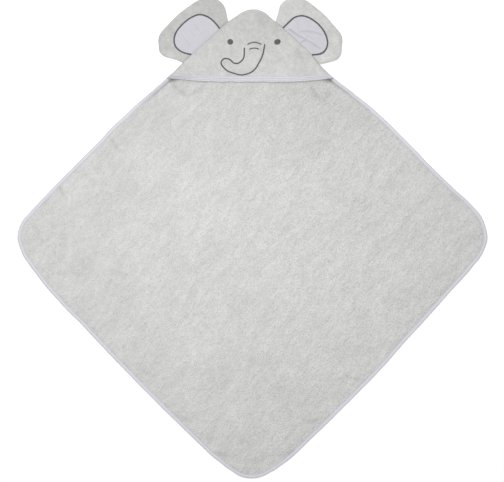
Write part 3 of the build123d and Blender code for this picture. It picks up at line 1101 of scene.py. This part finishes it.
# Painted shade, darker towards the lip's ends, the left one most.
fade = 1 - 0.14 * smooth((-run - 100) / 50) - 0.04 * smooth((-run - 10) / 60) - 0.06 * smooth((run - 95) / 30)
lip = sweep("hood_lip_strip", lip_rings, BINDING_JERSEY, np.outer(fade, LIP_PAINTED_SHADE))
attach(lip, "hood")
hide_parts("hood_edge_binding")
for number, k in enumerate(LIP_STITCH_POINTS, 1):
    row = stitch_row(f"hood_lip_stitches_{number}", lip_rings[4:-4, k], BINDING_STITCH, BINDING_THREAD)
    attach(row, "hood")
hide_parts("hood_edge_stitching")


# ---------------------------------------------------------------- embroidery on the hood

TRUNK = [(23.5, 407.5), (19, 382), (0, 349), (-27, 341.5), (-57, 351), (-71, 368),
         (-62, 377.5), (-51, 376), (-37, 363), (-20, 376), (-19.3, 400.3)]
TRUNK_RADII = [60, 35, 30, 30, 8, 6, 10, 12, 18]
FACE_SHIFT = np.array([7.6, -0.6])
UPPER_CREASE = [(-13.2, 406.4), (1, 413), (16.8, 406.6)]
LOWER_CREASE = [(-9.5, 396.1), (0.8, 401.3), (11.6, 396.1)]
CREASE_RADII = [22]
EYE = np.array([49.0, 412.0])
EYE_RADIUS = 6.0


def build_eye(name, centre):
    """A domed disc of satin stitches, its threads running up and down."""
    rows, around = 9, 56
    verts = [centre]
    for r in EYE_RADIUS * np.sin(np.linspace(0, math.pi / 2, rows + 1))[1:]:
        for k in range(around):
            a = 2 * math.pi * k / around
            ragged = 1 + 0.018 * math.sin(9 * a + centre[0]) * (r / EYE_RADIUS) ** 4
            verts.append(centre + r * ragged * np.array([math.cos(a), math.sin(a)]))
    verts = np.array(verts)
    reach = np.linalg.norm(verts - centre, axis=1) / EYE_RADIUS
    threads = 0.10 * np.cos((verts[:, 0] - centre[0]) * 2 * math.pi / 0.9)
    dome = 1.05 * np.sqrt(np.clip(1 - reach ** 2, 0, 1)) + threads * np.clip(1 - reach ** 4, 0, 1)
    seat = hood_height(verts[:, 0], verts[:, 1])
    points = np.concatenate([np.column_stack([verts, seat + dome * 0.9 + 0.05]), np.column_stack([verts, seat - 0.4])])
    total = len(verts)
    disc = [(0, 1 + k, 1 + (k + 1) % around) for k in range(around)]
    disc += [(q[0], q[3], q[2], q[1]) for q in grid_faces(rows, around, 1, close=True)]
    rim = 1 + (rows - 1) * around
    side = [(rim + k, total + rim + k, total + rim + d, rim + d)
            for k, d in zip(range(around), np.roll(range(around), -1).tolist())]
    under = [tuple(total + i for i in f[::-1]) for f in disc]
    return new_piece(name, points, disc + under + side, EMBROIDERY)


for name, node, corners, radii, width in (
        ("embroidered_trunk", "trunk_outline", TRUNK, TRUNK_RADII, 3.0),
        ("embroidered_crease_upper", "trunk_crease_upper", UPPER_CREASE, CREASE_RADII, 2.5),
        ("embroidered_crease_lower", "trunk_crease_lower", LOWER_CREASE, CREASE_RADII, 2.5)):
    piece = satin_line(name, rounded_chain(corners, radii) + FACE_SHIFT, hood_height, width, 0.65)
    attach(piece, "hood")
    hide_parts(node)
for name, node, side in (("embroidered_eye_left", "eye_left", -1), ("embroidered_eye_right", "eye_right", 1)):
    piece = build_eye(name, EYE * [side, 1] + FACE_SHIFT)
    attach(piece, "hood")
    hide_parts(node)


# ---------------------------------------------------------------- the ears

LININGS = {
    -1: [(105.5, -6), (106.5, 15.5), (104.5, 31), (98.5, 44.5), (89, 53.5), (72, 58.8), (50, 59.2), (30, 54.5),
         (16.5, 43.5), (12, 29.5), (16.5, 12.5), (30, -6)],
    1: [(108, -6), (106.5, 20.5), (100.5, 36.5), (92.5, 48), (80, 55), (62, 58.8), (42, 58), (26, 53),
        (13, 44), (8, 33), (10.5, 20), (17.5, 8), (30, -6)],
}
# Painted shading of each whole ear, the left one darkened as if in shade and the right one lightened as if lit, and the
# painted shade at each ear's inner end.
EAR_PAINTED_SHADING = {-1: 0.94, 1: 1.055}
INNER_END_SHADE = {-1: 0.02, 1: -0.01}
EAR_TUCK = 2.4
EAR_MID = 2.45
EAR_RIM_ROUND = 3.0
EAR_CLOTH = 1.4
SEAM_INSET = 3.0
SEAM_BED = 2.3
# Each fold in an ear's patch: its line and how strong it is.
LINING_CREASES = {
    -1: [([(-145, 428), (-123, 404)], 0.35), ([(-119, 452), (-99, 428)], 0.3), ([(-131, 442), (-112, 418)], 0.25)],
    1: [([(69, 440), (78, 437.8), (90, 428.4), (105.5, 420), (115, 417.5)], 1.15),
        ([(92, 433), (107, 435.5), (120, 435), (136, 432.6), (156, 425.5)], 0.8),
        ([(94, 410), (107.5, 416), (118.5, 412.7), (130, 406.4), (149, 395)], 1.0),
        ([(109, 426), (130, 418.5)], 0.5)],
}


def soft_line(points, step=1.0):
    """A smooth curve through a few guide points."""
    p = np.asarray(points, float)
    p = np.concatenate([[2 * p[0] - p[1]], p, [2 * p[-1] - p[-2]]])
    out = []
    for a, b, c, d in zip(p, p[1:], p[2:], p[3:]):
        for t in np.linspace(0, 1, 12, endpoint=False):
            out.append(0.5 * (2 * b + (c - a) * t + (2 * a - 5 * b + 4 * c - d) * t ** 2
                              + (3 * b - a - 3 * c + d) * t ** 3))
    out.append(p[-2])
    return resample(out, step=step)


class Ear:
    """One turned two-ply ear with its appliqued inner patch."""

    def __init__(self, side, name):
        self.side, self.name = side, name
        self.chain = rounded_chain(EAR_CORNERS, EAR_RADII)
        self.rim_look = nearest(ear_place(self.chain, side))
        tuck = [(EAR_ROOT_SPAN[1] - 2, -EAR_TUCK), (EAR_ROOT_SPAN[0] + 2, -EAR_TUCK)]
        ring = ear_place(np.concatenate([self.chain, tuck]), side)
        self.area = fill_outline(ring, spacing=2.6, rim_steps=(0.4, 1.1, 2.2))
        self.upper, self.lower = settle(ring, spacing=5.0, gap=1.5, pressure=1.0, ease=0.012, seed=90 + side)

    def seam_line(self):
        """The seam that joins the plies, just inside the turned edge."""
        line = self.chain - SEAM_INSET * left_normals(self.chain)
        return ear_place(line[line[:, 1] > 2.0], self.side)

    def shape(self, x, y, out):
        """Heights of the outer faces of the front and back plies."""
        full = 1 - np.exp(-out / 3.2)
        distance = self.rim_look(pairs(x, y))[1]
        rim = np.sqrt(1 - (1 - np.clip(distance / EAR_RIM_ROUND, 0, 1)) ** 2)
        puff = np.clip(self.upper(x, y), 0.1, 4.0)
        sag = np.clip(-self.lower(x, y), 0.1, 4.0)
        front = EAR_MID + (0.35 + (0.75 + 0.85 * puff) * full) * rim
        back = EAR_MID - (0.50 + (0.70 + 0.60 * sag) * full) * rim
        return front, np.maximum(back, 0.20 + 0.08 * sag)

    def tone(self, x, y, along, out):
        """Painted shade by the seam and, at one end, towards the head, and painted light at the ear's lower end;
        blotched as the knit is.
        """
        inner_end = smooth((along - 90) / 35) * smooth(out / 20)
        blotch = lumps(x, y, size=15.0, seed=12 + self.side)
        tone = 1 - 0.14 * np.exp(-out / 1.8) - INNER_END_SHADE[self.side] * inner_end + 0.045 * blotch
        return (tone + 0.07 * patch(np.abs(x), y, (165, 376), (26, 20))) * EAR_PAINTED_SHADING[self.side]

    def build(self):
        verts, faces, on_rim = self.area
        x, y = verts.T
        along, into = seam_place(x, y)
        out = np.clip(-into, 0, None)
        front, back = self.shape(x, y, out)
        inner_front = np.maximum(front - EAR_CLOTH, EAR_MID + 0.04)
        inner_back = np.minimum(back + EAR_CLOTH, EAR_MID - 0.04)
        front = np.where(on_rim, EAR_MID + 0.02, front)
        back = np.where(on_rim, EAR_MID - 0.02, back)
        turned = (verts, [f[::-1] for f in faces], on_rim)
        tone = self.tone(x, y, along, out)
        pieces = {
            "front": ply(f"{self.name}_front_cloth", self.area, front, inner_front, HOOD_KNIT, tone),
            "back": ply(f"{self.name}_back_cloth", turned, back, inner_back, HOOD_KNIT),
        }
        height = height_on(pieces["front"])
        edge = soft_line(LININGS[self.side], 0.5)
        ring = ear_place(edge[edge[:, 1] > -EAR_TUCK + 0.8], self.side)
        area = fill_outline(ring, spacing=1.6)
        seat = height(*area[0].T)
        rise, shade = self.creases(area[0])
        top = seat + 0.42 + 0.25 * smooth(nearest(ring)(area[0])[1] / 6) + rise
        pieces["lining"] = ply(f"{self.name}_lining_cloth", area, top, seat - 0.25, LINING_JERSEY, 1 + shade)
        pieces["outline"] = satin_line(f"{self.name}_satin_edge", ring, lambda a, b: height(a, b) + 0.3, 3.5, 0.75)
        return pieces

    def creases(self, verts):
        """Soft folds across the patch, strong on the right ear: how far each point rises, and its painted shade along
        and below each fold with painted light just above it.
        """
        rise = 0.12 * waves(60 + self.side, 6, 14, 40)(verts[:, 0], verts[:, 1])
        shade = np.zeros(len(verts))
        for line, strength in LINING_CREASES[self.side]:
            curve = soft_line(line)
            index, away = nearest(curve)(verts)
            share = index / (len(curve) - 1)
            fade = strength * smooth(share / 0.16) * smooth((1 - share) / 0.16)
            lower = verts[:, 1] < curve[index, 1]
            rise = rise + fade * (1.0 * bell(away / 2.8) - 0.6 * lower * bell((away - 3.6) / 2.2))
            shade = shade + fade * (0.05 * ~lower * bell((away - 3.0) / 2.4)
                                    - 0.15 * bell((away * np.where(lower, 1, -1) - 0.6) / 2.1))
        return rise, shade


SEAM_STITCH = (3.0, 2.6, 0.16, 0.6)


def seam_thread(name, line, height):
    """The hidden row of stitches that joins plies, laid between them."""
    line = np.column_stack([line, np.full(len(line), height)])
    return stitch_row(name, line, SEAM_STITCH, SEAM_THREAD, sink=1.0)


seam_line = right_half[right_half[:, 1] > HOOD_CORNER[1]]
seam_line = seam_line - SEAM_INSET * left_normals(seam_line)
seam_line = seam_line[seam_line[:, 0] > 0]
hood_seam = seam_thread("hood_seam_thread", np.concatenate([(seam_line * [-1, 1])[::-1], seam_line]), SEAM_BED)
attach(hood_seam, "hood")
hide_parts("hood_seam_stitching")

for side, name in ((-1, "ear_left"), (1, "ear_right")):
    ear = Ear(side, name)
    pieces = ear.build()
    pieces["seam_stitching"] = seam_thread(f"{name}_seam_thread", ear.seam_line(), EAR_MID)
    hinge = drawn(ear_place(np.array([60.0, 0.0]), side))
    beyond = drawn(ear_place(np.array([60.0, 15.0]), side))
    for key, piece in pieces.items():
        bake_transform(piece)
        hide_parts(f"{name}_{key}")


# ---------------------------------------------------------------- floor, lights and camera

FLOOR_DROP = 0.3
FLOOR_REACH = 40000.0
FLOOR_CELLS = 24
FLOOR_GLOW = 0.30
WORLD_STRENGTH = 0.41
SENSOR = 36.0
VIEW_WIDTH = 1058.4
CAMERA_HEIGHT = 3000.0
CAMERA_XY = (-1.05, -5.9)
# Name, place, target, size and power, in metres and watts.
LIGHTS = [
    ("key", (-0.30, 1.10, 1.65), (0.0, 0.0, 0.0), 0.85, 12.9),
    ("overhead", (-0.04, 0.0, 1.15), (-0.04, 0.0, 0.0), 0.7, 5.1),
]

paint = Shading("studio_floor")
grain = paint.noise(paint.node("TexCoord", "Object", {}), 3, 2)
paint.fill(paint.shader, {
    "Base Color": paint.shades(grain, 0.3, 0.7, grey(0.93), grey(0.95)), "Roughness": 0.9,
    "Specular IOR Level": 0.1, "Emission Color": (1, 1, 1, 1), "Emission Strength": FLOOR_GLOW})
line = np.linspace(-FLOOR_REACH, FLOOR_REACH, FLOOR_CELLS)
mesh = bpy.data.meshes.new("floor")
mesh.from_pydata((np.array([(x, y, -FLOOR_DROP) for y in line for x in line]) * MM).tolist(), [],
                 grid_faces(FLOOR_CELLS, FLOOR_CELLS))
mesh.materials.append(paint.material)
floor = add_object("floor", mesh)

for name, place, target, size, power in LIGHTS:
    light = bpy.data.lights.new(name, "AREA")
    light.shape, light.size, light.energy = "DISK", size, power
    lamp = add_object(name, light)
    lamp.location = place
    lamp.visible_camera = False
    lamp.rotation_euler = (Vector(target) - Vector(place)).to_track_quat("-Z", "Y").to_euler()

world = bpy.data.worlds.new("studio")
world.use_nodes = True
background = next(n for n in world.node_tree.nodes if n.type == "BACKGROUND")
background.inputs["Color"].default_value = (1, 1, 1, 1)
background.inputs["Strength"].default_value = WORLD_STRENGTH
scene = bpy.context.scene
scene.world = world
scene.view_settings.view_transform = "Standard"

camera_data = bpy.data.cameras.new("camera")
camera_data.sensor_width = SENSOR
camera_data.lens = SENSOR * CAMERA_HEIGHT / VIEW_WIDTH
camera = add_object("camera", camera_data)
camera.location = (CAMERA_XY[0] * MM, CAMERA_XY[1] * MM, (CAMERA_HEIGHT + TERRY) * MM)
scene.camera = camera
